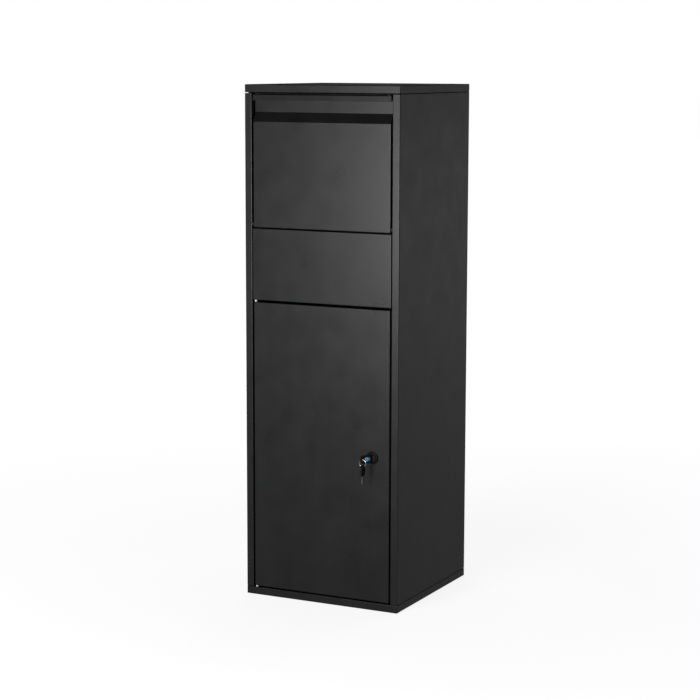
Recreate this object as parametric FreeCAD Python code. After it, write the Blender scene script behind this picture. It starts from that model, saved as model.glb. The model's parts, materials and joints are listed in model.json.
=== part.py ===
import FreeCAD, Part
import math
import os

# Parcel drop box: a floor-standing sheet-metal cabinet with a tilting hopper above a locked door.
#
# Millimetres. +Z is up and the front faces -Y. The origin is the centre of the base's underside.
# Each function below makes one sub-part and has its node's name. Left is -X, where the door hangs.
# Depths called d are measured back from the front face, so y = FRONT + d.

# ---------------------------------------------------------------- driving dimensions

WIDTH = 460.0
DEPTH = 450.0
HEIGHT = 1400.0

SHEET = 1.0                        # thickness of every folded sheet
BEND_IN = 1.0                      # inside radius of every bend
BEND_OUT = BEND_IN + SHEET

SEAM_PLAY = 0.1                    # gap all round the back panel
BUFFER_GAP = 0.3                   # between a rubber pad and the shut leaf

CAP = 21.5                         # height of the top and base pans
CAP_RETURN = 20.0                  # how far their folded edges turn inwards
FLANGE = 21.0                      # width of the side panels' flanges
FLANGE_RETURN = 12.0               # depth of the fold behind each front flange
RELIEF = (12.0, 20.0, 2.0)         # corner relief under the top pan: along the front, the side, and down
LEAF_DEPTH = 16.0                  # folded depth of the fascia, the door and the hopper front

FASCIA_HALF = 207.5
FASCIA_LOW = 821.0
FASCIA_HIGH = 1015.5
FASCIA_LIP = 12.0

LEAF_HALF = 204.5                  # half width of the door and of the hopper front
DOOR_LOW = 25.0
DOOR_HIGH = 815.5
DOOR_LIP = 14.0

HOPPER_LOW = 1018.0
GROOVE_LOW = 1300.7                # where the hopper's face starts to slope back
GROOVE_HIGH = 1326.6               # where the slope meets the back wall of the finger groove
GROOVE_DEPTH = 13.0
HANDLE_TOP = 1373.5
HANDLE_LIP = 15.5
HANDLE_LEAN = 0.8                  # how far the lip's foot stands in front of its top
HANDLE_HALF = 205.0

PIVOT_D = 6.0                      # hopper pivot, behind the front face
PIVOT_Z = 1027.0
CHEEK_RADIUS = 320.0               # quadrant plates, about the pivot
STUD_RADIUS = 300.0                # stop studs, about the pivot
STUD_ANGLE = 38.0                  # degrees above level with the hopper shut
TRAY_SLOPE = 30.0                  # degrees below level with the hopper shut
TRAY_LENGTH = 215.0

HINGE_X = -200.5                   # door hinge
HINGE_D = 5.0
HINGE_PIN_R = 2.5

LOCK_X = 155.2
LOCK_Z = 418.0
LOCK_BODY_R = 9.5                  # threaded body, with a flat on each side
LOCK_FLAT_HALF = 8.0
LOCK_HEAD_R = 11.5
LOCK_HEAD_D = -7.0                 # front of the lock's head
ROSETTE_R = 17.0
ROSETTE_D = -4.0                   # front of the trim ring
PLUG_R = 6.0
PLUG_FRONT_D = -8.0
CAM_D = 20.4
CAM_THICK = 2.5
CAM_LENGTH = 45.0
KEY_TIP_D = 12.4
KEY_HALF_THICK = 1.0
KEY_HALF_HEIGHT = 3.75
KEY_PIN_D = -17.0                  # hinge that folds the key's head, in front of the door
KEY_PIN_R = 0.8
KEY_PIN_HALF = 5.6
KNUCKLE_R = 2.0
HEAD_TURN = 38.0                   # degrees that the key's head is folded to the left
HEAD_FOOT = -2.5                   # the head's two ends, along the key from its hinge
HEAD_END = 27.5
HEAD_HALF_WIDTH = 11.5
HEAD_HALF_THICK = 2.0
HEAD_HOLE_ALONG = 20.4
HEAD_HOLE_R = 3.6
BADGE_ALONG = 9.2
BADGE_HALF_LENGTH = 6.5
BADGE_HALF_WIDTH = 6.0
RING_R = 9.4
RING_WIRE_R = 0.9
SPARE_LENGTH = 26.5                # spare key's blade, from its hinge to its tip

# ---------------------------------------------------------------- places worked out from them

SIDE = WIDTH / 2.0
FRONT = -DEPTH / 2.0
BACK = DEPTH / 2.0
INNER_SIDE = SIDE - SHEET          # inside face of the side plates
INNER_WIDTH = INNER_SIDE - BEND_IN  # half width of a sheet that clears the bends beside it
OPENING = SIDE - FLANGE            # half width of the front opening
TOP_SEAM = HEIGHT - CAP
SHELF = TOP_SEAM - SHEET           # underside of the side panels' top flanges

PIVOT_Y = FRONT + PIVOT_D
HINGE_Y = FRONT + HINGE_D
CHEEK_X = LEAF_HALF - SHEET        # outer face of the hopper's cheeks
TRAY_X = CHEEK_X - SHEET           # outer face of the tray's side flanges
TRAY_START = (FRONT + 18.0, HOPPER_LOW + SHEET)
TRAY_DOWN = math.radians(-TRAY_SLOPE)

RAIL_D = (20.0, 50.0)
RAIL_HEIGHT = 24.5
BAFFLE_Y = 12.0
BAFFLE_LOW = 1112.0
BAFFLE_HALF = 196.0
BAFFLE_BAND = 22.5                 # full-width band along the baffle's top
BAFFLE_FLANGE = 21.0

BRACKET_INNER = 190.0
BRACKET_Z = (835.0, 990.0)
BRACKET_LEG = 20.0
STOP_D = 18.0
STOP_INNER = 192.0

DOOR_BUFFER_X = 199.0
DOOR_BUFFER_Z = (90.0, 300.0, 540.0, 750.0)
DOOR_BUFFER_R = 4.5
HOPPER_BUFFER_X = 180.0
HOPPER_BUFFER_DROP = 8.5           # below the top of the handle
HOPPER_BUFFER_R = 6.0
BUMPER_X = 195.5
BUMPER_D = 4.5

PAN_SCREW_X = 219.5                # screws that hold the top and the base
TOP_SCREW_Y = (-190.0, 25.0, 190.0)
BASE_SCREW_Y = (-150.0, 0.0, 150.0)
RIVET_X = 220.0
RIVET_Z = [100.0 + 240.0 * i for i in range(6)]

WALL_HOLES = [(x, z) for x in (-120.0, 120.0) for z in (350.0, 1150.0)]
WALL_HOLE_R = 5.0
ANCHOR_HOLES = [(x, y) for x in (-160.0, 160.0) for y in (-155.0, 155.0)]
ANCHOR_HOLE_R = 5.5

BUSH_BORE = 3.05
BUSH_BODY_R = 3.9
PIVOT_PIN_R = 3.0

FOLD = math.radians(HEAD_TURN)
RING_X = LOCK_X - HEAD_HOLE_ALONG * math.sin(FOLD)
RING_Y = FRONT + KEY_PIN_D - HEAD_HOLE_ALONG * math.cos(FOLD)
RING_TOP = LOCK_Z - 1.0            # wire centre where the ring hangs in the key
RING_CENTRE = RING_TOP - RING_R
RING_LOW = RING_CENTRE - RING_R
SPARE_HOLE_Z = RING_LOW - 2.4
SPARE_HINGE_Z = SPARE_HOLE_Z - HEAD_HOLE_ALONG


# ---------------------------------------------------------------- shape helpers

def vec(x, y, z):
    return FreeCAD.Vector(x, y, z)


def box(x, y, z):
    """A box, from its low and high value on each axis."""
    size = [high - low for low, high in (x, y, z)]
    return Part.makeBox(*size, vec(x[0], y[0], z[0]))


def rod_x(y, z, radius, x):
    return Part.makeCylinder(radius, x[1] - x[0], vec(x[0], y, z), vec(1, 0, 0))


def rod_y(x, z, radius, y):
    return Part.makeCylinder(radius, y[1] - y[0], vec(x, y[0], z), vec(0, 1, 0))


def rod_z(x, y, radius, z):
    return Part.makeCylinder(radius, z[1] - z[0], vec(x, y, z[0]))


def mirrored(shape):
    """The same shape on the other side of the cabinet's middle plane."""
    return shape.mirror(vec(0, 0, 0), vec(1, 0, 0))


def both_sides(shapes):
    return shapes + [mirrored(shape) for shape in shapes]


def drilled(shape, *fasteners):
    """A sheet with a hole wherever one of the fasteners passes through it."""
    return shape.cut(list(fasteners))


def grown(span, amount):
    return (span[0] - amount, span[1] + amount)


def sheet_pan(x, y, z, openings):
    """A closed folded box of sheet with rounded bends, less the boxes in `openings`."""
    outer = box(x, y, z)
    outer = outer.makeFillet(BEND_OUT, outer.Edges)
    inner = box(grown(x, -SHEET), grown(y, -SHEET), grown(z, -SHEET))
    inner = inner.makeFillet(BEND_IN, inner.Edges)
    return outer.cut([inner] + [box(*opening) for opening in openings])


def flat(a, b):
    return vec(a, b, 0)


def left_of(direction):
    return vec(-direction.y, direction.x, 0)


def offset_line(points, distance):
    """The line that runs `distance` to the left of a line of flat points."""
    normals = [left_of((b - a).normalize()) for a, b in zip(points, points[1:])]
    moved = []
    for i, point in enumerate(points):
        before = normals[max(i - 1, 0)]
        after = normals[min(i, len(normals) - 1)]
        moved.append(point + (before + after) * (distance / (1.0 + before.dot(after))))
    return moved


def rounded_line(points, radii):
    """Straight edges through flat points, joined by tangent arcs at the inner ones."""
    edges = []
    start = points[0]
    for before, corner, after, radius in zip(points, points[1:], points[2:], radii):
        back = (before - corner).normalize()
        on = (after - corner).normalize()
        half = 0.5 * math.acos(back.dot(on))
        first = corner + back * (radius / math.tan(half))
        last = corner + on * (radius / math.tan(half))
        middle = corner + (back + on).normalize() * (radius / math.sin(half) - radius)
        edges.append(Part.LineSegment(start, first).toShape())
        edges.append(Part.Arc(first, middle, last).toShape())
        start = last
    edges.append(Part.LineSegment(start, points[-1]).toShape())
    return edges


def turned_to(shape, along):
    """Stand a flat shape up: its (a, b) become (x, y), or (y, z) where it runs along x."""
    if along == "x":
        shape.transformShape(FreeCAD.Matrix(0, 0, 1, 0, 1, 0, 0, 0, 0, 1, 0, 0, 0, 0, 0, 1))
    return shape


def bent_sheet(line, side, along, span):
    """A folded strip: `line` runs along one face, and the sheet lies to its left (side 1) or
    right (side -1). It runs over `span` along x or z."""
    near = [flat(a, b) for a, b in line]
    far = offset_line(near, side * SHEET)
    near_radii = []
    far_radii = []
    for before, corner, after in zip(near, near[1:], near[2:]):
        bends_to_sheet = left_of(corner - before).dot(after - corner) * side > 0
        near_radii.append(BEND_OUT if bends_to_sheet else BEND_IN)
        far_radii.append(BEND_IN if bends_to_sheet else BEND_OUT)
    edges = rounded_line(near, near_radii)
    edges.append(Part.LineSegment(near[-1], far[-1]).toShape())
    edges += rounded_line(far[::-1], far_radii[::-1])
    edges.append(Part.LineSegment(far[0], near[0]).toShape())
    solid = Part.Face(Part.Wire(edges)).extrude(vec(0, 0, span[1] - span[0]))
    solid.translate(vec(0, 0, span[0]))
    return turned_to(solid, along)


def plate(outline, along, span):
    """A flat plate from a closed outline of points, over `span` along x or z."""
    corners = [flat(a, b) for a, b in outline]
    solid = Part.Face(Part.makePolygon(corners + corners[:1])).extrude(vec(0, 0, span[1] - span[0]))
    solid.translate(vec(0, 0, span[0]))
    return turned_to(solid, along)


def hexagon(centre, direction, across_flats, length):
    """A six-sided bar from `centre` along `direction`."""
    corner_r = across_flats / math.sqrt(3)
    turns = [math.radians(60 * i) for i in range(7)]
    corners = [vec(corner_r * math.cos(turn), corner_r * math.sin(turn), 0) for turn in turns]
    bar = Part.Face(Part.makePolygon(corners)).extrude(vec(0, 0, length))
    bar.Placement = FreeCAD.Placement(centre, FreeCAD.Rotation(vec(0, 0, 1), direction))
    return bar


def fastener(seat, direction, head_r, head_height, shank_r, length, socket=0.0):
    """A round-headed screw or rivet. Its head stands on `seat`, its shank runs along
    `direction`, and `socket` is the width of the key socket in its head."""
    outward = direction * -1.0
    head = Part.makeCylinder(head_r, head_height, seat, outward)
    rim = [e for e in head.Edges if abs((e.CenterOfMass - seat).dot(outward) - head_height) < 1e-6]
    head = head.makeFillet(head_height * 0.6, rim)
    if socket:
        head = head.cut(hexagon(seat + outward * head_height * 0.35, outward, socket, head_height))
    shank = Part.makeCylinder(shank_r, length, seat, direction)
    return head.fuse(shank)


def screw(seat, direction, length=7.0):
    return fastener(seat, direction, head_r=3.8, head_height=2.0, shank_r=2.0, length=length, socket=2.5)


def rivet(seat, direction):
    """A blind rivet through two sheets, flush on the far side."""
    return fastener(seat, direction, head_r=3.2, head_height=1.2, shank_r=1.6, length=2 * SHEET)


# ---------------------------------------------------------------- fasteners

def top_panel_screws():
    """Up through the side flanges. The first two rows also pass through a rail or a baffle."""
    seats = [SHELF - SHEET, SHELF - SHEET, SHELF]
    return both_sides([screw(vec(PAN_SCREW_X, y, seat), vec(0, 0, 1))
                       for y, seat in zip(TOP_SCREW_Y, seats)])


def base_panel_screws():
    return both_sides([screw(vec(PAN_SCREW_X, y, CAP + SHEET), vec(0, 0, -1)) for y in BASE_SCREW_Y])


def back_panel_rivets():
    seat_y = BACK - 2 * SHEET
    return both_sides([rivet(vec(RIVET_X, seat_y, z), vec(0, 1, 0)) for z in RIVET_Z])


def fascia_screws():
    seat_y = FRONT + LEAF_DEPTH + SHEET
    return both_sides([screw(vec(FASCIA_HALF - FASCIA_LIP / 2.0, seat_y, z), vec(0, -1, 0), 6.0)
                       for z in (860.0, 975.0)])


def on_tray(along, above):
    """A point (y, z) at a distance along the tray's slope and above its underside."""
    return (TRAY_START[0] + along * math.cos(TRAY_DOWN) - above * math.sin(TRAY_DOWN),
            TRAY_START[1] + along * math.sin(TRAY_DOWN) + above * math.cos(TRAY_DOWN))


def hopper_rivets():
    """Cheeks to the front's side folds, tray flanges to the cheeks, and the handle to the top fold."""
    rivets = [rivet(vec(TRAY_X, FRONT + 9.0, z), vec(1, 0, 0)) for z in (1085.0, 1165.0, 1245.0)]
    for along in (40.0, 110.0, 180.0):
        y, z = on_tray(along, 8.0)
        rivets.append(rivet(vec(TRAY_X - SHEET, y, z), vec(1, 0, 0)))
    rivets += [rivet(vec(x, FRONT + 8.0, HANDLE_TOP - 2 * SHEET), vec(0, 0, 1)) for x in (60.0, 180.0)]
    return both_sides(rivets)


# ---------------------------------------------------------------- cabinet

def left_side_panel():
    """Folded side, with flanges all round and a return behind the edge of the front flange."""
    inside = ((-OPENING - 2 * SHEET, -OPENING + SHEET), (FRONT + FLANGE_RETURN, BACK + SHEET),
              (CAP - SHEET, TOP_SEAM + SHEET))
    panel = sheet_pan((-SIDE, -OPENING), (FRONT, BACK), (CAP, TOP_SEAM), [inside])
    bush_hole = rod_x(PIVOT_Y, PIVOT_Z, BUSH_BODY_R, (-OPENING - 2 * SHEET, -OPENING + SHEET))
    across, along, down = RELIEF
    relief = box((-SIDE - 1.0, -SIDE + across), (FRONT - 1.0, FRONT + along),
                 (TOP_SEAM - down, TOP_SEAM + 1.0))
    return drilled(panel, bush_hole, relief, *top_panel_screws(), *base_panel_screws(), *back_panel_rivets())


def right_side_panel():
    return mirrored(left_side_panel())


def cap_pan(z, open_z):
    """The pan that both ends share: open on one face, inside a folded edge."""
    opening = (grown((-SIDE, SIDE), -CAP_RETURN), grown((FRONT, BACK), -CAP_RETURN), open_z)
    return sheet_pan((-SIDE, SIDE), (FRONT, BACK), z, [opening])


def top_panel():
    pan = cap_pan((TOP_SEAM, HEIGHT), (TOP_SEAM - SHEET, TOP_SEAM + 2 * SHEET))
    return drilled(pan, *top_panel_screws())


def base_panel():
    """Base pan, with four holes for floor anchors and the hole of the lower hinge pin."""
    pan = cap_pan((0.0, CAP), (CAP - 2 * SHEET, CAP + SHEET))
    anchors = [rod_z(x, y, ANCHOR_HOLE_R, (-SHEET, 2 * SHEET)) for x, y in ANCHOR_HOLES]
    return drilled(pan, *anchors, *base_panel_screws(), lower_hinge_pin())


def back_panel():
    """Flat sheet inside the rear flanges, with four holes for wall bolts. Its middle reaches both pans."""
    margin = SHEET + BEND_IN + SEAM_PLAY
    depth = (BACK - 2 * SHEET, BACK - SHEET)
    wide = box(grown((-SIDE, SIDE), -margin), depth, grown((CAP, TOP_SEAM), -margin))
    tall = box(grown((-OPENING, OPENING), -SEAM_PLAY), depth, grown((CAP, TOP_SEAM), -SEAM_PLAY))
    sheet = wide.fuse(tall).removeSplitter()
    holes = [rod_y(x, z, WALL_HOLE_R, (BACK - 3 * SHEET, BACK)) for x, z in WALL_HOLES]
    return drilled(sheet, *holes, *back_panel_rivets())


def front_fascia():
    """Fixed panel between the hopper and the door. The upper hinge pin hangs in its lower fold."""
    opening = (grown((-FASCIA_HALF, FASCIA_HALF), -FASCIA_LIP),
               (FRONT + LEAF_DEPTH - 2 * SHEET, FRONT + LEAF_DEPTH + SHEET),
               grown((FASCIA_LOW, FASCIA_HIGH), -FASCIA_LIP))
    pan = sheet_pan((-FASCIA_HALF, FASCIA_HALF), (FRONT, FRONT + LEAF_DEPTH),
                    (FASCIA_LOW, FASCIA_HIGH), [opening])
    return drilled(pan, upper_hinge_pin(), *fascia_screws())


def side_angle(inner_x, depth, z):
    """An angle on the right side plate, with one leg standing across the cabinet at `depth`."""
    line = [(inner_x, FRONT + depth), (INNER_SIDE, FRONT + depth), (INNER_SIDE, FRONT + depth + BRACKET_LEG)]
    return bent_sheet(line, 1, "z", z)


def fascia_bracket_right():
    return drilled(side_angle(BRACKET_INNER, LEAF_DEPTH, BRACKET_Z), *fascia_screws())


def fascia_bracket_left():
    return mirrored(fascia_bracket_right())


def door_stop_strip():
    """Angle down the lock side. The door shuts against it, and the cam locks behind it."""
    return side_angle(STOP_INNER, STOP_D, (DOOR_LOW, DOOR_HIGH - 0.5))


def door_buffers():
    span = (FRONT + LEAF_DEPTH + BUFFER_GAP, FRONT + STOP_D)
    return [rod_y(DOOR_BUFFER_X, z, DOOR_BUFFER_R, span) for z in DOOR_BUFFER_Z]


def header_rail():
    """Channel across the top of the opening, open to the rear."""
    front, rear = (FRONT + d for d in RAIL_D)
    line = [(rear, SHELF), (front, SHELF), (front, SHELF - RAIL_HEIGHT), (rear, SHELF - RAIL_HEIGHT)]
    return drilled(bent_sheet(line, 1, "x", (-INNER_WIDTH, INNER_WIDTH)), *top_panel_screws())


def hopper_buffers():
    z = HANDLE_TOP - HOPPER_BUFFER_DROP
    span = (FRONT + GROOVE_DEPTH + SHEET + BUFFER_GAP, FRONT + RAIL_D[0])
    return both_sides([rod_y(HOPPER_BUFFER_X, z, HOPPER_BUFFER_R, span)])


def anti_theft_baffle():
    """Plate behind the hopper. Its edges are cut back where the hopper's cheeks swing past."""
    hem = 8.0
    line = [(BAFFLE_Y + BAFFLE_FLANGE, SHELF), (BAFFLE_Y, SHELF),
            (BAFFLE_Y, BAFFLE_LOW), (BAFFLE_Y + hem, BAFFLE_LOW)]
    sheet = bent_sheet(line, 1, "x", (-INNER_WIDTH, INNER_WIDTH))
    notch = box((BAFFLE_HALF, SIDE), (BAFFLE_Y - SHEET, BAFFLE_Y + hem + SHEET),
                (BAFFLE_LOW - SHEET, SHELF - BAFFLE_BAND))
    return drilled(sheet, *both_sides([notch]), *top_panel_screws())


def upper_hinge_pin():
    """Pin that hangs in the fascia's lower fold and reaches into the door's top fold."""
    seat = vec(HINGE_X, HINGE_Y, FASCIA_LOW + SHEET)
    return fastener(seat, vec(0, 0, -1), head_r=3.5, head_height=2.0, shank_r=HINGE_PIN_R, length=14.0)


def lower_hinge_pin():
    """Pin that stands in the base's front fold and reaches into the door's bottom fold."""
    seat = vec(HINGE_X, HINGE_Y, CAP - SHEET)
    return fastener(seat, vec(0, 0, 1), head_r=3.5, head_height=2.0, shank_r=HINGE_PIN_R, length=13.5)


def hinge_spacer(z):
    """A plain nylon sleeve round a hinge pin."""
    sleeve = rod_z(HINGE_X, HINGE_Y, 3.5, z)
    return sleeve.cut(rod_z(HINGE_X, HINGE_Y, HINGE_PIN_R, grown(z, 1.0)))


def upper_hinge_collar():
    return hinge_spacer((DOOR_HIGH + 0.5, FASCIA_LOW))


def lower_hinge_washer():
    return hinge_spacer((CAP, DOOR_LOW - 0.05))


def hopper_bushes():
    """Flanged bushes in the side panels' front returns."""
    flange = rod_x(PIVOT_Y, PIVOT_Z, 4.8, (LEAF_HALF + 0.3, OPENING))
    body = rod_x(PIVOT_Y, PIVOT_Z, BUSH_BODY_R, (OPENING, OPENING + 2 * SHEET))
    bore = rod_x(PIVOT_Y, PIVOT_Z, BUSH_BORE, (LEAF_HALF, OPENING + 3 * SHEET))
    return both_sides([flange.fuse(body).removeSplitter().cut(bore)])


# ---------------------------------------------------------------- hopper

def about_pivot(radius, degrees):
    """A point (y, z) on a circle about the hopper's pivot, from level at the rear."""
    angle = math.radians(degrees)
    return (PIVOT_Y + radius * math.cos(angle), PIVOT_Z + radius * math.sin(angle))


def hopper_front():
    """Folded front. Above its face the sheet slopes back, rises and folds forward again, which
    leaves a finger groove. Folds 16 deep run along the bottom and up both sides."""
    wall_y = FRONT + GROOVE_DEPTH
    fold_top = HANDLE_TOP - 2 * SHEET
    rear = FRONT + LEAF_DEPTH
    fold_end = FRONT + HANDLE_LEAN + BEND_OUT + 0.4
    line = [(rear, HOPPER_LOW), (FRONT, HOPPER_LOW), (FRONT, GROOVE_LOW), (wall_y, GROOVE_HIGH),
            (wall_y, fold_top), (fold_end, fold_top)]
    sheet = bent_sheet(line, -1, "x", (-LEAF_HALF, LEAF_HALF))

    # The side bends: a rounded bar trims the sheet's ends, and its skin makes the side folds.
    bar = box((-LEAF_HALF, LEAF_HALF), (FRONT, FRONT + 60.0), (HOPPER_LOW, HANDLE_TOP))
    on_face = [e for e in bar.Edges if e.BoundBox.YMax < FRONT + 1e-6]
    bar = bar.makeFillet(BEND_OUT, [e for e in on_face if e.BoundBox.ZMin < HOPPER_LOW + 1e-6])
    core = box((-CHEEK_X, CHEEK_X), (FRONT + SHEET, FRONT + 61.0), (HOPPER_LOW + SHEET, HANDLE_TOP + SHEET))
    corners = [e for e in core.Edges if e.BoundBox.YMax < FRONT + SHEET + 1e-6 and e.BoundBox.ZLength > 1.0]
    core = core.makeFillet(BEND_IN, corners)
    skin = bar.cut(core)
    behind_face = plate([(FRONT, HOPPER_LOW), (FRONT, GROOVE_LOW), (wall_y, GROOVE_HIGH),
                         (rear, GROOVE_HIGH), (rear, HOPPER_LOW)], "x", (-LEAF_HALF, LEAF_HALF))
    folds = skin.common(behind_face)
    front = sheet.common(bar).fuse(folds).removeSplitter()
    return drilled(front, *hopper_pivot_pins(), *hopper_rivets())


def hopper_handle():
    """Angle along the top edge. Its lip hangs over the finger groove and is what the hand pulls.
    The lip leans out a little towards its foot."""
    line = [(FRONT + 14.2, HANDLE_TOP), (FRONT + HANDLE_LEAN, HANDLE_TOP), (FRONT, HANDLE_TOP - HANDLE_LIP)]
    strip = bent_sheet(line, 1, "x", (-HANDLE_HALF, HANDLE_HALF))
    low_edges = [e for e in strip.Edges
                 if e.BoundBox.XLength > HANDLE_HALF and e.BoundBox.ZMax < HANDLE_TOP - HANDLE_LIP + 0.1]
    return drilled(strip.makeFillet(0.45, low_edges), *hopper_rivets())


def handle_bumper():
    """Clear dome that stops the handle from ringing against the top pan."""
    radius = 3.0
    height = 2.5
    ball_r = (radius ** 2 + height ** 2) / (2 * height)
    ball = Part.makeSphere(ball_r, vec(BUMPER_X, FRONT + BUMPER_D, HANDLE_TOP + height - ball_r))
    above = Part.makeCylinder(2 * radius, height, vec(BUMPER_X, FRONT + BUMPER_D, HANDLE_TOP))
    return ball.common(above)


def hopper_cheek_right():
    """Quadrant plate that closes the side of the hopper while it tilts."""
    top_y = FRONT + 14.4
    top = (top_y, PIVOT_Z + math.sqrt(CHEEK_RADIUS ** 2 - (top_y - PIVOT_Y) ** 2))
    arc = [flat(*point) for point in (top, about_pivot(CHEEK_RADIUS, 60.0), about_pivot(CHEEK_RADIUS, 30.0))]
    corners = [about_pivot(CHEEK_RADIUS, 30.0), about_pivot(220.0, -13.0), on_tray(TRAY_LENGTH - 2.0, SHEET),
               on_tray(0.0, SHEET), (FRONT + 2.4, HOPPER_LOW + 2.2 * SHEET),
               (FRONT + 2.4, GROOVE_LOW - 1.7), (top_y, GROOVE_HIGH - 4.6), top]
    edges = [Part.Arc(*arc).toShape(), Part.makePolygon([flat(*corner) for corner in corners])]
    cheek = Part.Face(Part.Wire(edges)).extrude(vec(0, 0, SHEET))
    cheek.translate(vec(0, 0, TRAY_X))
    cheek = turned_to(cheek, "x")
    return drilled(cheek, *hopper_pivot_pins(), *hopper_rivets(), *hopper_stop_studs())


def hopper_cheek_left():
    return mirrored(hopper_cheek_right())


def hopper_tray():
    """Sloping tray that holds the parcel while the hopper is open and tips it in as it shuts."""
    hem = 12.0
    down = math.radians(-TRAY_SLOPE - 90.0)
    end = on_tray(TRAY_LENGTH, 0.0)
    line = [(FRONT + 5.0, TRAY_START[1]), TRAY_START, end,
            (end[0] + hem * math.cos(down), end[1] + hem * math.sin(down))]
    tray = bent_sheet(line, 1, "x", (-TRAY_X, TRAY_X))
    flange = plate([on_tray(10.0, 0.5 * SHEET), on_tray(TRAY_LENGTH - 3.0, 0.5 * SHEET),
                    on_tray(TRAY_LENGTH - 7.0, 14.0), on_tray(22.0, 14.0)], "x", (TRAY_X - SHEET, TRAY_X))
    return drilled(tray.fuse(both_sides([flange])).removeSplitter(), *hopper_rivets())


def hopper_pivot_pins():
    seat = vec(TRAY_X, PIVOT_Y, PIVOT_Z)
    return both_sides([fastener(seat, vec(1, 0, 0), head_r=4.5, head_height=3.0, shank_r=PIVOT_PIN_R,
                                length=OPENING + 4.0 - TRAY_X)])


def pivot_clips():
    """Snap rings behind the bushes. Each is a ring with a gap at its foot."""
    span = (OPENING + 2.5, OPENING + 3.3)
    ring = rod_x(PIVOT_Y, PIVOT_Z, 4.6, span).cut(rod_x(PIVOT_Y, PIVOT_Z, PIVOT_PIN_R, grown(span, 1.0)))
    gap = box(grown(span, 1.0), (PIVOT_Y - 1.2, PIVOT_Y + 1.2), (PIVOT_Z - 6.0, PIVOT_Z))
    return both_sides([ring.cut(gap)])


def hopper_stop_studs():
    """Sleeved studs that meet the side panels' front returns when the hopper is fully open."""
    y, z = about_pivot(STUD_RADIUS, STUD_ANGLE)
    stud = fastener(vec(TRAY_X, y, z), vec(1, 0, 0), head_r=4.0, head_height=2.2, shank_r=2.0,
                    length=SHEET, socket=2.5)
    sleeve = rod_x(y, z, 4.0, (CHEEK_X, OPENING + 3.0))
    return both_sides([stud.fuse(sleeve)])


# ---------------------------------------------------------------- door

def lock_body(y):
    """The double-D shape of the lock's body: a rod with two flats."""
    flats = box((LOCK_X - LOCK_FLAT_HALF, LOCK_X + LOCK_FLAT_HALF), grown(y, 1.0),
                (LOCK_Z - 2 * LOCK_BODY_R, LOCK_Z + 2 * LOCK_BODY_R))
    return rod_y(LOCK_X, LOCK_Z, LOCK_BODY_R, y).common(flats)


def door_skin():
    """Folded door, with pin holes in its top and bottom folds and a lock hole on the right."""
    opening = (grown((-LEAF_HALF, LEAF_HALF), -DOOR_LIP),
               (FRONT + LEAF_DEPTH - 2 * SHEET, FRONT + LEAF_DEPTH + SHEET),
               grown((DOOR_LOW, DOOR_HIGH), -DOOR_LIP))
    pan = sheet_pan((-LEAF_HALF, LEAF_HALF), (FRONT, FRONT + LEAF_DEPTH), (DOOR_LOW, DOOR_HIGH), [opening])
    pin_line = rod_z(HINGE_X, HINGE_Y, HINGE_PIN_R + 0.05, (DOOR_LOW - 5.0, DOOR_HIGH + 5.0))
    return drilled(pan, pin_line, lock_body((FRONT - SHEET, FRONT + 2 * SHEET)))


def door_stiffener():
    """Hat channel down the middle of the door's inside."""
    centre = -20.0
    crown = 18.0
    foot = 32.0
    skin = FRONT + SHEET
    rise = skin + 12.0
    line = [(centre - foot, skin), (centre - crown, skin), (centre - crown, rise),
            (centre + crown, rise), (centre + crown, skin), (centre + foot, skin)]
    return bent_sheet(line, 1, "z", (DOOR_LOW + DOOR_LIP + 3.0, DOOR_HIGH - DOOR_LIP - 3.0))


def lock_rosette():
    """Flat trim ring under the lock's head."""
    disc = rod_y(LOCK_X, LOCK_Z, ROSETTE_R, (FRONT + ROSETTE_D, FRONT))
    rim = [e for e in disc.Edges if abs(e.CenterOfMass.y - (FRONT + ROSETTE_D)) < 1e-6]
    return disc.makeFillet(1.5, rim).cut(lock_body((FRONT + ROSETTE_D - 1.0, FRONT + SHEET)))


def lock_housing():
    """Flanged head and double-D body, bored through for the plug."""
    head = rod_y(LOCK_X, LOCK_Z, LOCK_HEAD_R, (FRONT + LOCK_HEAD_D, FRONT + ROSETTE_D))
    rim = [e for e in head.Edges if abs(e.CenterOfMass.y - (FRONT + LOCK_HEAD_D)) < 1e-6]
    body = lock_body((FRONT + ROSETTE_D, FRONT + 20.0))
    bore = rod_y(LOCK_X, LOCK_Z, PLUG_R + 0.05, (FRONT + LOCK_HEAD_D - 1.0, FRONT + 21.0))
    return head.makeFillet(0.8, rim).fuse(body).cut(bore)


def lock_nut():
    nut = hexagon(vec(LOCK_X, FRONT + SHEET, LOCK_Z), vec(0, 1, 0), 24.0, 5.0)
    return nut.cut(lock_body((FRONT, FRONT + 8.0)))


# ---------------------------------------------------------------- lock plug

def key_slot():
    return box((LOCK_X - KEY_HALF_THICK, LOCK_X + KEY_HALF_THICK),
               (FRONT + PLUG_FRONT_D - 1.0, FRONT + KEY_TIP_D),
               (LOCK_Z - KEY_HALF_HEIGHT, LOCK_Z + KEY_HALF_HEIGHT))


def cam_square():
    """The square end of the plug that drives the cam."""
    half = 3.5
    return box((LOCK_X - half, LOCK_X + half), (FRONT + CAM_D, FRONT + CAM_D + CAM_THICK),
               (LOCK_Z - half, LOCK_Z + half))


def cam_screw():
    seat = vec(LOCK_X, FRONT + CAM_D + CAM_THICK + 1.0, LOCK_Z)
    return screw(seat, vec(0, -1, 0), 9.5)


def cam_washer():
    y = FRONT + CAM_D + CAM_THICK
    return drilled(rod_y(LOCK_X, LOCK_Z, 6.5, (y, y + 1.0)), cam_screw())


def lock_plug():
    plug = rod_y(LOCK_X, LOCK_Z, PLUG_R, (FRONT + PLUG_FRONT_D, FRONT + CAM_D)).fuse(cam_square())
    return drilled(plug, key_slot(), cam_screw())


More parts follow.
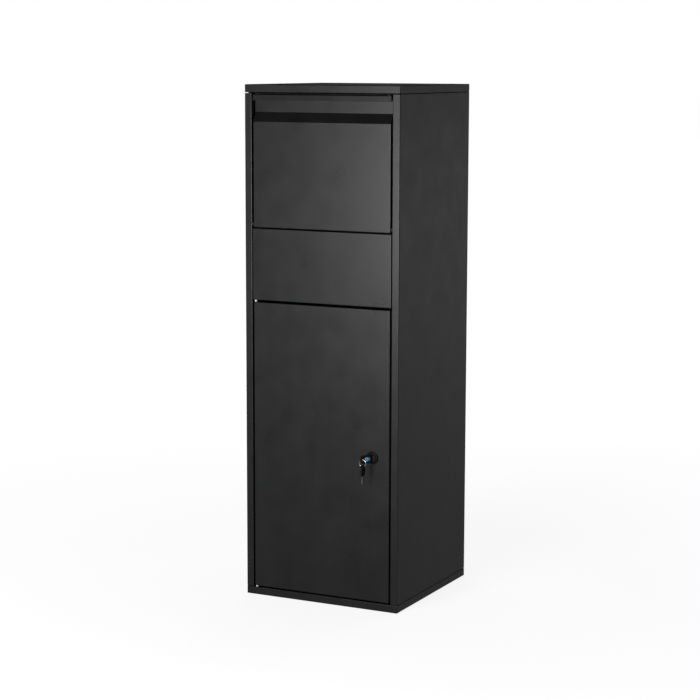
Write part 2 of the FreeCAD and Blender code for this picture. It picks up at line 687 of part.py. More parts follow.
def lock_cam():
    """Flat arm that hangs down while the lock is open and turns behind the stop strip to lock."""
    half = 7.5
    arm = box((LOCK_X - half, LOCK_X + half), (FRONT + CAM_D, FRONT + CAM_D + CAM_THICK),
              (LOCK_Z - CAM_LENGTH, LOCK_Z + 9.0))
    ends = [e for e in arm.Edges if e.BoundBox.YLength > 1.0]
    return arm.makeFillet(6.0, ends).cut(cam_square())


# ---------------------------------------------------------------- keys
#
# Both keys have a head that folds on a hinge. They are drawn in a frame of their own: x runs out from
# the hinge towards the head's far end, y through the key's thickness and z across it.

IN_LOCK = FreeCAD.Placement(vec(LOCK_X, FRONT + KEY_PIN_D, LOCK_Z), FreeCAD.Rotation(vec(0, 0, 1), -90.0))
IN_LOCK_FOLDED = IN_LOCK.multiply(FreeCAD.Placement(vec(0, 0, 0), FreeCAD.Rotation(vec(0, 0, 1), -HEAD_TURN)))
ON_RING = FreeCAD.Placement(vec(RING_X, RING_Y, SPARE_HINGE_Z),
                            FreeCAD.Rotation(vec(0, 0, 1), vec(1, 0, 0), vec(0, 1, 0), "ZXY"))


def placed(shape, placement):
    shape.Placement = placement.multiply(shape.Placement)
    return shape


def pin_of_key():
    return rod_z(0, 0, KEY_PIN_R, (-KEY_PIN_HALF, KEY_PIN_HALF))


def head_of_key():
    """A moulded head with wide round corners, a ring hole and a slot for the blade's knuckle."""
    thick = (-HEAD_HALF_THICK, HEAD_HALF_THICK)
    block = box((HEAD_FOOT, HEAD_END), thick, (-HEAD_HALF_WIDTH, HEAD_HALF_WIDTH))
    block = block.makeFillet(8.0, [e for e in block.Edges if e.BoundBox.YLength > 1.0])
    block = block.makeFillet(0.8, [e for e in block.Edges if e.BoundBox.YLength < 1e-6])
    through = grown(thick, 1.0)
    slot = box((HEAD_FOOT - 1.0, KNUCKLE_R + 0.6), through, grown((-KEY_HALF_HEIGHT, KEY_HALF_HEIGHT), 0.25))
    return drilled(block, slot, rod_y(HEAD_HOLE_ALONG, 0, HEAD_HOLE_R, through), pin_of_key())


def badges_of_key():
    """An oval badge let into each face of the head."""
    oval = Part.Ellipse(vec(0, 0, 0), BADGE_HALF_LENGTH, BADGE_HALF_WIDTH).toShape()
    badge = Part.Face(Part.Wire([oval])).extrude(vec(0, 0, 0.7))
    upright = FreeCAD.Rotation(vec(1, 0, 0), 90.0)
    badge.Placement = FreeCAD.Placement(vec(BADGE_ALONG, HEAD_HALF_THICK + 0.2, 0), upright)
    return [badge, badge.mirror(vec(0, 0, 0), vec(0, 1, 0))]


def knuckled(bar):
    """A blade's bar with the knuckle that the head's pin passes through."""
    knuckle = rod_z(0, 0, KNUCKLE_R, (-KEY_HALF_HEIGHT, KEY_HALF_HEIGHT))
    bore = rod_z(0, 0, KEY_PIN_R + 0.05, (-KEY_PIN_HALF, KEY_PIN_HALF))
    return knuckle.fuse(bar).removeSplitter().cut(bore)


def key_blade():
    """Blade of the key in the lock. It fills its slot in the plug."""
    bar = box((KEY_PIN_D - KEY_TIP_D, 0), (-KEY_HALF_THICK, KEY_HALF_THICK),
              (-KEY_HALF_HEIGHT, KEY_HALF_HEIGHT))
    return placed(knuckled(bar), IN_LOCK)


def key_bow():
    return placed(drilled(head_of_key(), *badges_of_key()), IN_LOCK_FOLDED)


def key_inlay():
    return [placed(badge, IN_LOCK_FOLDED) for badge in badges_of_key()]


def key_pin():
    return placed(pin_of_key(), IN_LOCK_FOLDED)


def key_ring():
    return Part.makeTorus(RING_R, RING_WIRE_R, vec(RING_X, RING_Y, RING_CENTRE), vec(0, 1, 0))


def spare_key_bow():
    return placed(head_of_key(), ON_RING)


def spare_key_pin():
    return placed(pin_of_key(), ON_RING)


def spare_key_blade():
    """Blade with a pointed tip and a row of cuts along one edge."""
    pitch = 4.0
    cut = 1.3
    shoulder = 3.0 - SPARE_LENGTH
    outline = [(0, -KEY_HALF_HEIGHT), (shoulder, -KEY_HALF_HEIGHT), (-SPARE_LENGTH, 0),
               (shoulder, KEY_HALF_HEIGHT)]
    for i in range(4):
        start = shoulder + 0.5 + pitch * i
        outline += [(start, KEY_HALF_HEIGHT), (start + 0.4 * pitch, KEY_HALF_HEIGHT - cut),
                    (start + 0.8 * pitch, KEY_HALF_HEIGHT)]
    outline += [(0, KEY_HALF_HEIGHT), (0, -KEY_HALF_HEIGHT)]
    edge = Part.makePolygon([vec(x, -KEY_HALF_THICK, z) for x, z in outline])
    bar = Part.Face(edge).extrude(vec(0, 2 * KEY_HALF_THICK, 0))
    return placed(knuckled(bar), ON_RING)


# ---------------------------------------------------------------- files

NODES = [
    left_side_panel, right_side_panel, top_panel, base_panel, back_panel, back_panel_rivets,
    front_fascia, fascia_bracket_left, fascia_bracket_right, fascia_screws,
    header_rail, anti_theft_baffle, door_stop_strip, door_buffers, hopper_buffers,
    upper_hinge_pin, lower_hinge_pin, upper_hinge_collar, lower_hinge_washer, hopper_bushes,
    top_panel_screws, base_panel_screws,
    hopper_front, hopper_handle, handle_bumper, hopper_cheek_left, hopper_cheek_right, hopper_tray,
    hopper_pivot_pins, pivot_clips, hopper_stop_studs, hopper_rivets,
    door_skin, door_stiffener, lock_rosette, lock_housing, lock_nut,
    lock_plug, lock_cam, cam_washer, cam_screw, key_blade, key_bow, key_inlay, key_pin,
    key_ring, spare_key_bow, spare_key_pin, spare_key_blade,
]

os.makedirs("parts", exist_ok=True)
for node in NODES:
    made = node()
    shape = Part.makeCompound(made) if isinstance(made, list) else made
    shape.exportStep("parts/%s.step" % node.__name__)
    print(node.__name__, len(shape.Solids), "solids", round(shape.Volume), "mm3", "valid", shape.isValid())
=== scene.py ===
import json
import math

import bmesh
import bpy
from mathutils import Matrix, Vector


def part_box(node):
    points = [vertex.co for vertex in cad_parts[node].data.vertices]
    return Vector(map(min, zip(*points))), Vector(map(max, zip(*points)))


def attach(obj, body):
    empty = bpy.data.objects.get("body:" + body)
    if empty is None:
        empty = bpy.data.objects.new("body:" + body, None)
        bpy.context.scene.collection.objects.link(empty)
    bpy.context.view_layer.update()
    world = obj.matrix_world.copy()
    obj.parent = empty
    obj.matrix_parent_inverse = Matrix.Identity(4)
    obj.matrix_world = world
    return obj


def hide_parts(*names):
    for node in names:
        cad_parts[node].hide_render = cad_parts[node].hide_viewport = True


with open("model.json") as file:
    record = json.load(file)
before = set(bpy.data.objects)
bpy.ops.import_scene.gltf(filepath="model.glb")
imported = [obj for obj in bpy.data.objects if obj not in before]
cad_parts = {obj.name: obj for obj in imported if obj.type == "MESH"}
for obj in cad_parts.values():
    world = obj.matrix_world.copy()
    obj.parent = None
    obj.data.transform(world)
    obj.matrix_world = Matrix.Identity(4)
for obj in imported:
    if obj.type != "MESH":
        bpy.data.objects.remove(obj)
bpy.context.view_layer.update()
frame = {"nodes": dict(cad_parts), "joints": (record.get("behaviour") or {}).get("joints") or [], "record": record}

MM = 0.001
JOINTS = {joint["name"]: joint for joint in frame["joints"]}


# ---------------------------------------------------------------- camera, floor and light

CAMERA_PLACE = (2.402, -4.819, 1.463)
CAMERA_HEADING = 26.76             # degrees, turned to the left of straight at the front
CAMERA_PITCH = -8.40
CAMERA_ROLL = -0.14
CAMERA_LENS = 100.8                # on a 36 mm sensor


def make_camera():
    data = bpy.data.cameras.new("camera")
    data.lens = CAMERA_LENS
    data.sensor_width = 36.0
    camera = bpy.data.objects.new("camera", data)
    camera.location = CAMERA_PLACE
    camera.rotation_euler = [math.radians(a) for a in (90.0 + CAMERA_PITCH, CAMERA_ROLL, CAMERA_HEADING)]
    bpy.context.scene.collection.objects.link(camera)
    bpy.context.scene.camera = camera


def softbox(name, place, target, size, power):
    """A rectangular area light at `place` that faces `target`."""
    data = bpy.data.lights.new(name, "AREA")
    data.shape = "RECTANGLE"
    data.size, data.size_y = size
    data.energy = power
    light = bpy.data.objects.new(name, data)
    light.location = place
    light.rotation_euler = (Vector(target) - Vector(place)).to_track_quat("-Z", "Y").to_euler()
    light.visible_camera = False
    bpy.context.scene.collection.objects.link(light)


# The surroundings that light and reflect in the object: (height from 0, below, to 1, overhead, and tone).
STUDIO_TONES = ((0.0, 0.04), (0.40, 0.19), (0.47, 0.48), (0.495, 0.34), (0.51, 0.10), (0.56, 0.06),
                (1.0, 0.03))
STUDIO_STRENGTH = 0.9


def make_world():
    """Lights the object with the studio's tones, and shows plain white behind it."""
    world = bpy.data.worlds.new("studio")
    bpy.context.scene.world = world
    world.use_nodes = True
    tree = world.node_tree
    tree.nodes.clear()
    place = tree.nodes.new("ShaderNodeTexCoord")
    split = tree.nodes.new("ShaderNodeSeparateXYZ")
    ramp = tree.nodes.new("ShaderNodeValToRGB")
    lit = tree.nodes.new("ShaderNodeBackground")
    seen = tree.nodes.new("ShaderNodeBackground")
    ray = tree.nodes.new("ShaderNodeLightPath")
    mix = tree.nodes.new("ShaderNodeMixShader")
    out = tree.nodes.new("ShaderNodeOutputWorld")
    tree.links.new(place.outputs["Generated"], split.inputs[0])
    height = tree.nodes.new("ShaderNodeMapRange")
    height.inputs["From Min"].default_value = -1.0
    tree.links.new(split.outputs["Z"], height.inputs["Value"])
    tree.links.new(height.outputs["Result"], ramp.inputs["Fac"])
    stops = ramp.color_ramp.elements
    while len(stops) < len(STUDIO_TONES):
        stops.new(0.5)
    for stop, (position, tone) in zip(stops, STUDIO_TONES):
        stop.position = position
        stop.color = (tone, tone, tone, 1)
    tree.links.new(ramp.outputs["Color"], lit.inputs["Color"])
    lit.inputs["Strength"].default_value = STUDIO_STRENGTH
    seen.inputs["Color"].default_value = (1.0, 1.0, 1.0, 1)
    tree.links.new(ray.outputs["Is Camera Ray"], mix.inputs["Fac"])
    tree.links.new(lit.outputs["Background"], mix.inputs[1])
    tree.links.new(seen.outputs["Background"], mix.inputs[2])
    tree.links.new(mix.outputs["Shader"], out.inputs["Surface"])


FLOOR_REACH = 30.0                 # metres, from the middle to each edge
FLOOR_DROP = 0.0005                # clear of the object's underside
FLOOR_GLOW = (0.86, 1.0)           # near the object, then far from it
FLOOR_GLOW_AT = (0.8, 4.0)         # metres from the middle


def make_floor():
    """A plain pale floor that fades to white away from the object."""
    mesh = bpy.data.meshes.new("studio_floor")
    corners = [(a * FLOOR_REACH, b * FLOOR_REACH, 0) for a, b in ((-1, -1), (1, -1), (1, 1), (-1, 1))]
    mesh.from_pydata(corners, [], [(0, 1, 2, 3)])
    floor = bpy.data.objects.new("studio_floor", mesh)
    bpy.context.scene.collection.objects.link(floor)
    floor.location.z = -FLOOR_DROP
    floor.visible_glossy = False
    material = bpy.data.materials.new("studio_floor")
    material.use_nodes = True
    tree = material.node_tree
    shader = tree.nodes["Principled BSDF"]
    shader.inputs["Base Color"].default_value = (0.5, 0.5, 0.5, 1)
    shader.inputs["Emission Color"].default_value = (1, 1, 1, 1)
    shader.inputs["Roughness"].default_value = 0.9
    shader.inputs["Specular IOR Level"].default_value = 0.1
    place = tree.nodes.new("ShaderNodeTexCoord")
    distance = tree.nodes.new("ShaderNodeVectorMath")
    distance.operation = "LENGTH"
    glow = tree.nodes.new("ShaderNodeMapRange")
    glow.inputs["From Min"].default_value, glow.inputs["From Max"].default_value = FLOOR_GLOW_AT
    glow.inputs["To Min"].default_value, glow.inputs["To Max"].default_value = FLOOR_GLOW
    tree.links.new(place.outputs["Object"], distance.inputs[0])
    tree.links.new(distance.outputs["Value"], glow.inputs["Value"])
    tree.links.new(glow.outputs["Result"], shader.inputs["Emission Strength"])
    mesh.materials.append(material)


make_camera()
make_world()
make_floor()
softbox("key", (-0.35, -3.6, 0.90), (0, -0.2, 0.90), (1.4, 0.82), 56.0)
softbox("top", (0.0, 1.4, 4.2), (0, 0, 0.0), (2.4, 2.4), 22.0)
bpy.context.scene.view_settings.view_transform = "Standard"


# ---------------------------------------------------------------- materials

def shader_of(name):
    material = bpy.data.materials.new(name)
    material.use_nodes = True
    return material, material.node_tree, material.node_tree.nodes["Principled BSDF"]


def noise(tree, scale, detail=2.0, stretch=(1, 1, 1)):
    """Noise in the object's own space. `scale` counts features to the metre."""
    place = tree.nodes.new("ShaderNodeTexCoord")
    mapping = tree.nodes.new("ShaderNodeMapping")
    mapping.inputs["Scale"].default_value = stretch
    texture = tree.nodes.new("ShaderNodeTexNoise")
    texture.inputs["Scale"].default_value = scale
    texture.inputs["Detail"].default_value = detail
    tree.links.new(place.outputs["Object"], mapping.inputs["Vector"])
    tree.links.new(mapping.outputs["Vector"], texture.inputs["Vector"])
    return texture.outputs["Fac"]


def vary(tree, socket, source, low, high):
    """Run a number socket between `low` and `high` as `source` goes from its darks to its lights."""
    spread = tree.nodes.new("ShaderNodeMapRange")
    spread.inputs["From Min"].default_value = 0.3
    spread.inputs["From Max"].default_value = 0.7
    spread.inputs["To Min"].default_value = low
    spread.inputs["To Max"].default_value = high
    tree.links.new(source, spread.inputs["Value"])
    tree.links.new(spread.outputs["Result"], socket)


def tint(tree, socket, source, dark, light):
    """Run a colour socket from `dark` to `light` with `source`."""
    ramp = tree.nodes.new("ShaderNodeValToRGB")
    ramp.color_ramp.elements[0].position = 0.3
    ramp.color_ramp.elements[0].color = (*dark, 1)
    ramp.color_ramp.elements[1].position = 0.7
    ramp.color_ramp.elements[1].color = (*light, 1)
    tree.links.new(source, ramp.inputs["Fac"])
    tree.links.new(ramp.outputs["Color"], socket)


def bumped(tree, shader, layers):
    """Add relief: each layer is (source, height in metres, strength)."""
    normal = None
    for source, height, strength in layers:
        bump = tree.nodes.new("ShaderNodeBump")
        bump.inputs["Distance"].default_value = height
        bump.inputs["Strength"].default_value = strength
        tree.links.new(source, bump.inputs["Height"])
        if normal:
            tree.links.new(normal, bump.inputs["Normal"])
        normal = bump.outputs["Normal"]
    tree.links.new(normal, shader.inputs["Normal"])


def powder_coat(name, dark, light, rough, relief=1.0):
    """Satin black powder coat: fine grain, a slow orange-peel wave and faint upright streaks."""
    material, tree, shader = shader_of(name)
    tint(tree, shader.inputs["Base Color"], noise(tree, 30.0, 4.0, (1, 1, 0.12)), dark, light)
    vary(tree, shader.inputs["Roughness"], noise(tree, 14.0, 3.0), rough - 0.03, rough + 0.04)
    shader.inputs["Specular IOR Level"].default_value = 0.5
    grain = noise(tree, 1500.0, 2.0)
    peel = noise(tree, 160.0, 2.0)
    bumped(tree, shader, [(peel, 0.0006, 0.05 * relief), (grain, 0.0002, 0.16 * relief)])
    return material


def metal(name, dark, light, rough, scale=400.0, stretch=(1, 1, 1), relief=0.05):
    """Bare or plated metal with fine marks."""
    material, tree, shader = shader_of(name)
    source = noise(tree, scale, 4.0, stretch)
    tint(tree, shader.inputs["Base Color"], source, dark, light)
    vary(tree, shader.inputs["Roughness"], source, rough - 0.06, rough + 0.08)
    shader.inputs["Metallic"].default_value = 1.0
    bumped(tree, shader, [(source, 0.0002, relief)])
    return material


def plastic(name, dark, light, rough, coat=0.0, relief=0.03, shine=0.5):
    material, tree, shader = shader_of(name)
    source = noise(tree, 900.0, 3.0)
    tint(tree, shader.inputs["Base Color"], noise(tree, 60.0, 3.0), dark, light)
    vary(tree, shader.inputs["Roughness"], source, rough - 0.04, rough + 0.06)
    shader.inputs["Specular IOR Level"].default_value = shine
    shader.inputs["Coat Weight"].default_value = coat
    shader.inputs["Coat Roughness"].default_value = 0.06
    bumped(tree, shader, [(source, 0.0002, relief)])
    return material


def clear_dome_material():
    material, tree, shader = shader_of("clear_dome")
    tint(tree, shader.inputs["Base Color"], noise(tree, 200.0), (0.82, 0.86, 0.9), (0.94, 0.96, 0.98))
    shader.inputs["Transmission Weight"].default_value = 0.85
    shader.inputs["Roughness"].default_value = 0.12
    shader.inputs["IOR"].default_value = 1.46
    return material


MATERIALS = {
    "cabinet_paint": powder_coat("cabinet_paint", (0.0075, 0.0077, 0.0082), (0.0095, 0.0097, 0.0102), 0.30),
    "hopper_paint": powder_coat("hopper_paint", (0.0075, 0.0077, 0.0082), (0.0095, 0.0097, 0.0102), 0.30),
    "door_paint": powder_coat("door_paint", (0.0075, 0.0077, 0.0082), (0.0095, 0.0097, 0.0102), 0.30),
    "inner_steel": powder_coat("inner_steel", (0.0075, 0.0077, 0.008), (0.0095, 0.0097, 0.010), 0.42),
    "zinc_fasteners": metal("zinc_fasteners", (0.42, 0.43, 0.45), (0.58, 0.59, 0.60), 0.32),
    "rubber_pads": plastic("rubber_pads", (0.012, 0.012, 0.012), (0.02, 0.02, 0.02), 0.75, relief=0.15),
    "white_nylon": plastic("white_nylon", (0.72, 0.72, 0.69), (0.82, 0.82, 0.79), 0.4),
    "black_nylon": plastic("black_nylon", (0.012, 0.012, 0.012), (0.022, 0.022, 0.022), 0.5),
    "clear_dome": clear_dome_material(),
    "lock_black": plastic("lock_black", (0.003, 0.003, 0.003), (0.005, 0.005, 0.005), 0.34, shine=0.22),
    "lock_metal": metal("lock_metal", (0.035, 0.035, 0.037), (0.065, 0.065, 0.067), 0.3),
    "key_metal": metal("key_metal", (0.30, 0.22, 0.18), (0.45, 0.36, 0.31), 0.32),
    "ring_steel": metal("ring_steel", (0.62, 0.62, 0.63), (0.75, 0.75, 0.76), 0.16),
    "key_plastic": plastic("key_plastic", (0.004, 0.004, 0.004), (0.007, 0.007, 0.007), 0.38, shine=0.25),
    "key_badge": plastic("key_badge", (0.04, 0.22, 0.38), (0.12, 0.42, 0.54), 0.2, coat=0.8),
}


def finish_cad_nodes():
    """Give every CAD node the material of its slot."""
    for row in frame["record"]["subparts"]:
        mesh = frame["nodes"][row["node"]].data
        mesh.materials.clear()
        mesh.materials.append(MATERIALS[row["material_slot"]])


finish_cad_nodes()


# ---------------------------------------------------------------- mesh helpers
# Flat outlines and distances below are in millimetres. Meshes come out in metres.

def arc_corner(before, corner, after, radius, steps=4):
    """Points of a tangent arc that rounds one corner of a flat outline."""
    back = (before - corner).normalized()
    on = (after - corner).normalized()
    half = 0.5 * back.angle(on)
    centre = corner + (back + on).normalized() * (radius / math.sin(half))
    first = corner + back * (radius / math.tan(half)) - centre
    last = corner + on * (radius / math.tan(half)) - centre
    sweep = math.atan2(first.x * last.y - first.y * last.x, first.dot(last))
    return [centre + Matrix.Rotation(sweep * i / steps, 2) @ first for i in range(steps + 1)]


def rounded(corners, steps=4):
    """A closed flat outline from (a, b, corner radius)."""
    flat = [Vector((a, b)) for a, b, _ in corners]
    outline = []
    for i, (_, _, radius) in enumerate(corners):
        if radius:
            outline += arc_corner(flat[i - 1], flat[i], flat[(i + 1) % len(flat)], radius, steps)
        else:
            outline.append(flat[i])
    return outline


def spaced(outline, longest):
    """The same closed outline with extra points, so that no run is longer than `longest`."""
    points = []
    for start, end in zip(outline, outline[1:] + outline[:1]):
        parts = max(1, math.ceil((end - start).length / longest))
        points += [start.lerp(end, i / parts) for i in range(parts)]
    return points


def inset(outline, distance):
    """A counter-clockwise outline moved inwards, point by point."""
    moved = []
    for i, point in enumerate(outline):
        along = (outline[(i + 1) % len(outline)] - outline[i - 1]).normalized()
        moved.append(point + Vector((-along.y, along.x)) * distance)
    return moved


def loft(name, rings, looped=False):
    """A closed skin through equal rings of points. It is capped at its ends, or runs round in a loop."""
    count = len(rings[0])
    faces = []
    for i in range(len(rings) if looped else len(rings) - 1):
        here = i * count
        there = (i + 1) % len(rings) * count
        for j in range(count):
            k = (j + 1) % count
            faces.append((here + j, here + k, there + k, there + j))
    if not looped:
        last = (len(rings) - 1) * count
        faces += [tuple(range(count)), tuple(range(last, last + count))]
    mesh = bpy.data.meshes.new(name)
    mesh.from_pydata([point * MM for ring in rings for point in ring], [], faces)
    skin = bmesh.new()
    skin.from_mesh(mesh)
    bmesh.ops.remove_doubles(skin, verts=skin.verts, dist=1e-6)
    loose = [edge for edge in skin.edges if not edge.link_faces]
    bmesh.ops.delete(skin, geom=loose, context="EDGES")
    bmesh.ops.recalc_face_normals(skin, faces=skin.faces)
    skin.to_mesh(mesh)
    skin.free()
    return mesh


def turned(name, section, centre, axis, steps=64):
    """Turn a closed section of (radius, distance) about a line through `centre`. Its distances run
    towards the front of the cabinet, or up."""
    rings = []
    for i in range(steps):
        turn = math.tau * i / steps
        a, b = math.cos(turn), math.sin(turn)
        if axis == "front":
            rings.append([centre + Vector((r * a, -d, r * b)) for r, d in section])
        else:
            rings.append([centre + Vector((r * a, r * b, d)) for r, d in section])
    return loft(name, rings, looped=True)


def add_piece(mesh, body, slot, *nodes, sharp=35.0):
    """Show a mesh on a body, in a slot's material, and in place of the CAD nodes named."""
    mesh.materials.append(MATERIALS[slot])
    mesh.polygons.foreach_set("use_smooth", [True] * len(mesh.polygons))
    mesh.set_sharp_from_angle(angle=math.radians(sharp))
    made = bpy.data.objects.new(mesh.name, mesh)
    bpy.context.scene.collection.objects.link(made)
    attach(made, body)
    if nodes:
        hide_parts(*nodes)


def box_mm(node):
    """Lowest corner, highest corner and middle of a CAD node, in millimetres."""
    low, high = (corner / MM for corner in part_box(node))
    return low, high, (low + high) / 2


# ---------------------------------------------------------------- lock

ROSETTE_LOW, ROSETTE_HIGH, ROSETTE_MIDDLE = box_mm("lock_rosette")
LOCK_ORIGIN = Vector((ROSETTE_MIDDLE.x, ROSETTE_HIGH.y, ROSETTE_MIDDLE.z))   # on the door's face
FLAT_HALF = 8.0                    # half the width of the lock's body across its flats
BODY_R = 9.5
HEAD_R = 11.5
STEP = 3.6                         # how far the rosette's inner step stands in front of the door
ROSETTE_BORE_R = 9.6
PLUG_BORE_R = 6.1


def rosette():
    """Trim ring with a rounded rim and a shallow step round the lock's head."""
    radius = (ROSETTE_HIGH.x - ROSETTE_LOW.x) / 2
    section = rounded([(ROSETTE_BORE_R, 0.0, 0), (radius, 0.0, 0), (radius, 4.0, 3.0),
                       (radius - 3.4, 4.0, 0.2), (radius - 3.7, STEP, 0.2), (ROSETTE_BORE_R, STEP, 0)])
    add_piece(turned("rosette_ring", section, LOCK_ORIGIN, "front", 96), "door", "lock_black", "lock_rosette")


def lock_head():
    """Head with a bevelled rim and a dished face."""
    section = rounded([(PLUG_BORE_R, STEP, 0), (HEAD_R, STEP, 0), (HEAD_R, 6.3, 0.3), (10.8, 7.0, 0.3),
                       (9.7, 7.0, 0.15), (9.3, 6.6, 0.15), (7.4, 6.6, 0.15), (7.0, 7.0, 0.15),
                       (PLUG_BORE_R, 7.0, 0.15)])
    add_piece(turned("lock_head", section, LOCK_ORIGIN, "front", 96), "door", "lock_metal", "lock_housing")


def lock_thread():
    """The body behind the head: a coarse thread with a flat on each side."""
    pitch = 1.5
    depth = 0.45
    back = box_mm("lock_housing")[1].y
    length = STEP + back - LOCK_ORIGIN.y
    turns = 72
    rings_per_pitch = 6
    rings = []
    for i in range(int(length / pitch * rings_per_pitch) + 1):
        along = STEP - i * pitch / rings_per_pitch
        ring = []
        for j in range(turns):
            turn = math.tau * j / turns
            rise = abs((along / pitch + j / turns) % 1.0 * 2.0 - 1.0)
            radius = BODY_R - depth * rise
            x = max(-FLAT_HALF, min(FLAT_HALF, radius * math.cos(turn)))
            ring.append(LOCK_ORIGIN + Vector((x, -along, radius * math.sin(turn))))
        rings.append(ring)
    add_piece(loft("lock_thread", rings), "door", "lock_metal", sharp=25.0)


def lock_nut():
    """Six-sided nut with chamfered corners and a bore that clears the thread."""
    low, high, centre = box_mm("lock_nut")
    flat_half = 12.0
    corner_r = flat_half / math.cos(math.radians(30))
    thick = high.y - low.y
    chamfer = 1.2
    turns = 120
    rings = []
    for i in range(turns):
        turn = math.tau * i / turns
        from_flat = (math.degrees(turn) + 30.0) % 60.0 - 30.0
        side = flat_half / math.cos(math.radians(from_flat))
        top = min(side, corner_r - chamfer)
        section = [(BODY_R, 0.0), (top, 0.0), (side, (side - top) * 0.6), (side, thick - (side - top) * 0.6),
                   (top, thick), (BODY_R, thick)]
        rings.append([Vector((centre.x + r * math.sin(turn), low.y + d, centre.z + r * math.cos(turn)))
                      for r, d in section])
    add_piece(loft("hex_nut", rings, looped=True), "door", "lock_metal", "lock_nut", sharp=20.0)


# ---------------------------------------------------------------- keys
# Each head is drawn flat, with its hinge at the origin: along, across, and out of its face.

HEAD_HOLE_ALONG = 20.4
HEAD_HOLE_R = 3.6
BADGE_ALONG = 9.2
KNUCKLE_R = 2.0
PIN_BORE_R = 0.85
BLADE_HALF_HEIGHT = 3.75
BLADE_HALF_THICK = 1.0


def head_outline():
    """A folding key head seen flat. Its two arms stand either side of the blade's knuckle."""
    half = [(2.6, -3.85, 0.3), (-2.5, -5.0, 1.2), (-2.5, -8.2, 1.5), (4.5, -11.5, 6.0), (27.5, -11.5, 9.5)]
    corners = half + [(a, -b, radius) for a, b, radius in reversed(half)]
    return spaced(rounded(corners, 8), 1.2)


def key_head(name, body, place, node):
    """A moulded head round its ring hole. `place` turns (along, across, out) into a point."""
    outline = head_outline()
    hole = Vector((HEAD_HOLE_ALONG, 0.0))
    edge = [(0.0, 1.3), (0.12, 1.68), (0.35, 1.93), (0.65, 2.0)]       # inset and height of the rounded rim
    rim = [(0.9, 2.0), (1.15, 1.78)]                                   # a raised border, then the face
    lip = [(1.0, 1.78), (0.75, 1.95), (0.3, 1.95), (0.0, 1.6)]         # a collar round the hole
    insets = {d: inset(outline, d) for d, _ in edge + rim}

    def half_section(point_index, side):
        upper = [(insets[d][point_index], h * side) for d, h in edge + rim]
        spoke = (outline[point_index] - hole).normalized()
        upper += [(hole + spoke * (HEAD_HOLE_R + d), h * side) for d, h in lip]
        return upper

    rings = []
    for i in range(len(outline)):
        section = half_section(i, 1.0) + half_section(i, -1.0)[::-1]
        rings.append([place(point.x, point.y, h) for point, h in section])
    add_piece(loft(name, rings, looped=True), body, "key_plastic", node)


def inlay(name, side, place):
    """A domed badge, let into one face of the head."""
    half_along = 6.5
    half_across = 6.0
    count = 48
    levels = [(1.0, 1.4), (1.0, 1.82), (0.94, 1.98), (0.78, 2.08), (0.52, 2.16), (0.26, 2.19)]
    rings = []
    for scale, height in levels:
        ring = []
        for i in range(count):
            turn = math.tau * i / count
            ring.append(place(BADGE_ALONG + half_along * scale * math.cos(turn),
                              half_across * scale * math.sin(turn), height * side))
        rings.append(ring)
    return loft(name, rings)


def blade(name, body, place, length, cuts, node):
    """A key blade with a milled groove on each face, a row of cuts and a pointed tip."""
    pitch = 3.6
    stations = [(1.2, 0.0)]
    for i, depth in enumerate(cuts):
        start = 5.5 + pitch * i
        stations += [(start, 0.0), (start + 0.35 * pitch, depth), (start + 0.6 * pitch, depth)]
    stations += [(length - 3.0, 0.0), (length, 2.6)]
    rings = []
    for along, depth in stations:
        top = BLADE_HALF_HEIGHT - depth
        foot = BLADE_HALF_HEIGHT - (depth if along == length else 0.0)
        squeeze = min(1.0, top / 2.3)
        t = BLADE_HALF_THICK
        section = [(top, t - 0.2), (top - 0.2, t), (1.4 * squeeze, t), (1.1 * squeeze, t - 0.35),
                   (-0.3 * squeeze, t - 0.35), (-0.6 * squeeze, t), (0.2 - foot, t), (-foot, t - 0.2),
                   (-foot, 0.2 - t), (0.2 - foot, -t), (-2.0 * squeeze, -t), (-1.7 * squeeze, 0.3 - t),
                   (-1.0 * squeeze, 0.3 - t), (-0.7 * squeeze, -t), (top - 0.2, -t), (top, 0.2 - t)]
        rings.append([place(-along, b, out) for b, out in section])
    add_piece(loft(name, rings), body, "key_metal", node, sharp=20.0)


def knuckle(name, body, hinge, axis):
    """The rolled end of a blade, round its hinge pin."""
    section = rounded([(PIN_BORE_R, -BLADE_HALF_HEIGHT, 0), (KNUCKLE_R, -BLADE_HALF_HEIGHT, 0.3),
                       (KNUCKLE_R, BLADE_HALF_HEIGHT, 0.3), (PIN_BORE_R, BLADE_HALF_HEIGHT, 0)])
    add_piece(turned(name, section, hinge, axis, 40), body, "key_metal")


def hinge_of(joint):
    return Vector(JOINTS[joint]["pos_m"]) / MM


def locked_key():
    """The key that stands in the lock, with its head folded to one side."""
    hinge = hinge_of("key_fold")
    reach = hinge_of("ring_swing") - hinge
    along = Vector((reach.x, reach.y, 0.0)).normalized()
    out = Vector((-along.y, along.x, 0.0))

    def place_head(a, b, t):
        return hinge + along * a + out * t + Vector((0.0, 0.0, b))

    def place_blade(a, b, t):
        return hinge + Vector((t, -a, b))

    key_head("key_head", "key_head", place_head, "key_bow")
    add_piece(inlay("badge_front", 1.0, place_head), "key_head", "key_badge", "key_inlay")
    add_piece(inlay("badge_back", -1.0, place_head), "key_head", "key_badge")
    length = box_mm("key_blade")[1].y - hinge.y
    blade("locked_blade", "lock_plug", place_blade, length, (0.9, 1.3, 0.6, 1.1), "key_blade")
    knuckle("locked_knuckle", "lock_plug", hinge, "up")


def spare_key():
    """The key that hangs from the ring, head up."""
    hinge = hinge_of("spare_key_fold")

    def place(a, b, t):
        return hinge + Vector((t, b, a))

    key_head("spare_head", "spare_key", place, "spare_key_bow")
    length = hinge.z - box_mm("spare_key_blade")[0].z
    blade("spare_blade", "spare_blade", place, length, (1.3, 0.7, 1.1, 0.5), "spare_key_blade")
    knuckle("spare_knuckle", "spare_blade", hinge, "front")


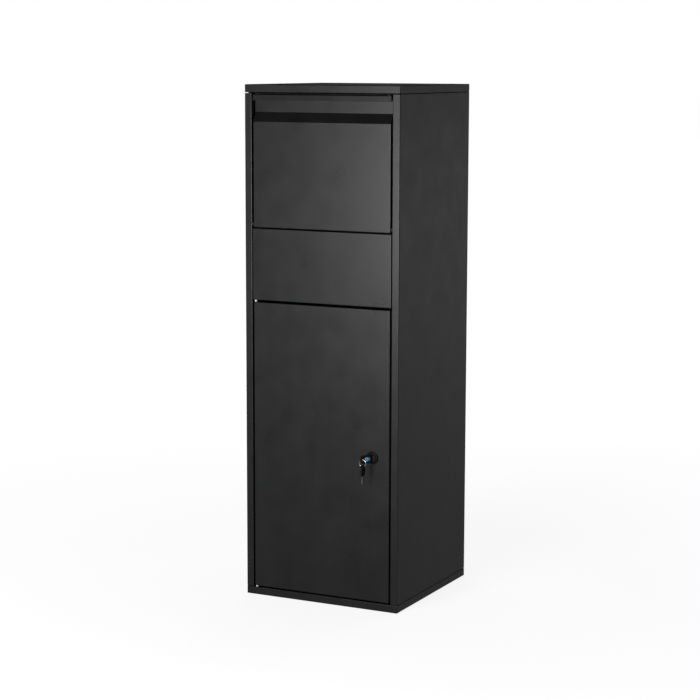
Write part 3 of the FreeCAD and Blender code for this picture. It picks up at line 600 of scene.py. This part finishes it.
def split_ring():
    """Two turns of flat spring wire, side by side, that change sides at a joggle."""
    low, high, centre = box_mm("key_ring")
    half_wide = 0.85               # of the wire, across the ring
    half_thick = 0.40
    side_step = 0.88               # between the two turns
    joggle_steps = 10
    radius = (high.z - low.z) / 2 - half_wide
    steps = 96
    overlap = 8
    wire = rounded([(-half_wide, -half_thick, 0.25), (half_wide, -half_thick, 0.25),
                    (half_wide, half_thick, 0.25), (-half_wide, half_thick, 0.25)], 2)
    rings = []
    for i in range(2 * steps - overlap):
        turn = math.tau * i / steps
        joggle = min(max((i - steps + joggle_steps) / joggle_steps, 0.0), 1.0)
        shift = (joggle * joggle * (3 - 2 * joggle) - 0.5) * side_step
        spoke = Vector((math.sin(turn), 0.0, -math.cos(turn)))
        rings.append([centre + spoke * (radius + p.x) + Vector((0.0, shift + p.y, 0.0)) for p in wire])
    add_piece(loft("split_ring", rings), "key_ring", "ring_steel", "key_ring")


# ---------------------------------------------------------------- small turned pieces

def hinge_spacer(node, name):
    """A nylon spacer with softened edges."""
    low, high, centre = box_mm(node)
    radius = (high.x - low.x) / 2
    tall = high.z - low.z
    bore = 2.5
    section = rounded([(bore, 0, 0.2), (radius, 0, 0.5), (radius, tall, 0.5), (bore, tall, 0.2)])
    foot = Vector((centre.x, centre.y, low.z))
    add_piece(turned(name, section, foot, "up", 48), "cabinet", "white_nylon", node)


def bumper():
    """Clear dome on the top edge of the pull."""
    low, high, centre = box_mm("handle_bumper")
    radius = (high.x - low.x) / 2
    tall = high.z - low.z
    arc_steps = 12
    rises = [math.radians(90.0 / arc_steps * i) for i in range(arc_steps)]
    section = [(0.0, 0.0)] + [(radius * math.cos(a), tall * math.sin(a)) for a in rises] + [(0.0, tall)]
    foot = Vector((centre.x, centre.y, low.z))
    add_piece(turned("clear_bumper", section, foot, "up", 48), "hopper", "clear_dome", "handle_bumper")


rosette()
lock_head()
lock_thread()
lock_nut()
locked_key()
spare_key()
split_ring()
hinge_spacer("upper_hinge_collar", "upper_spacer")
hinge_spacer("lower_hinge_washer", "lower_spacer")
bumper()
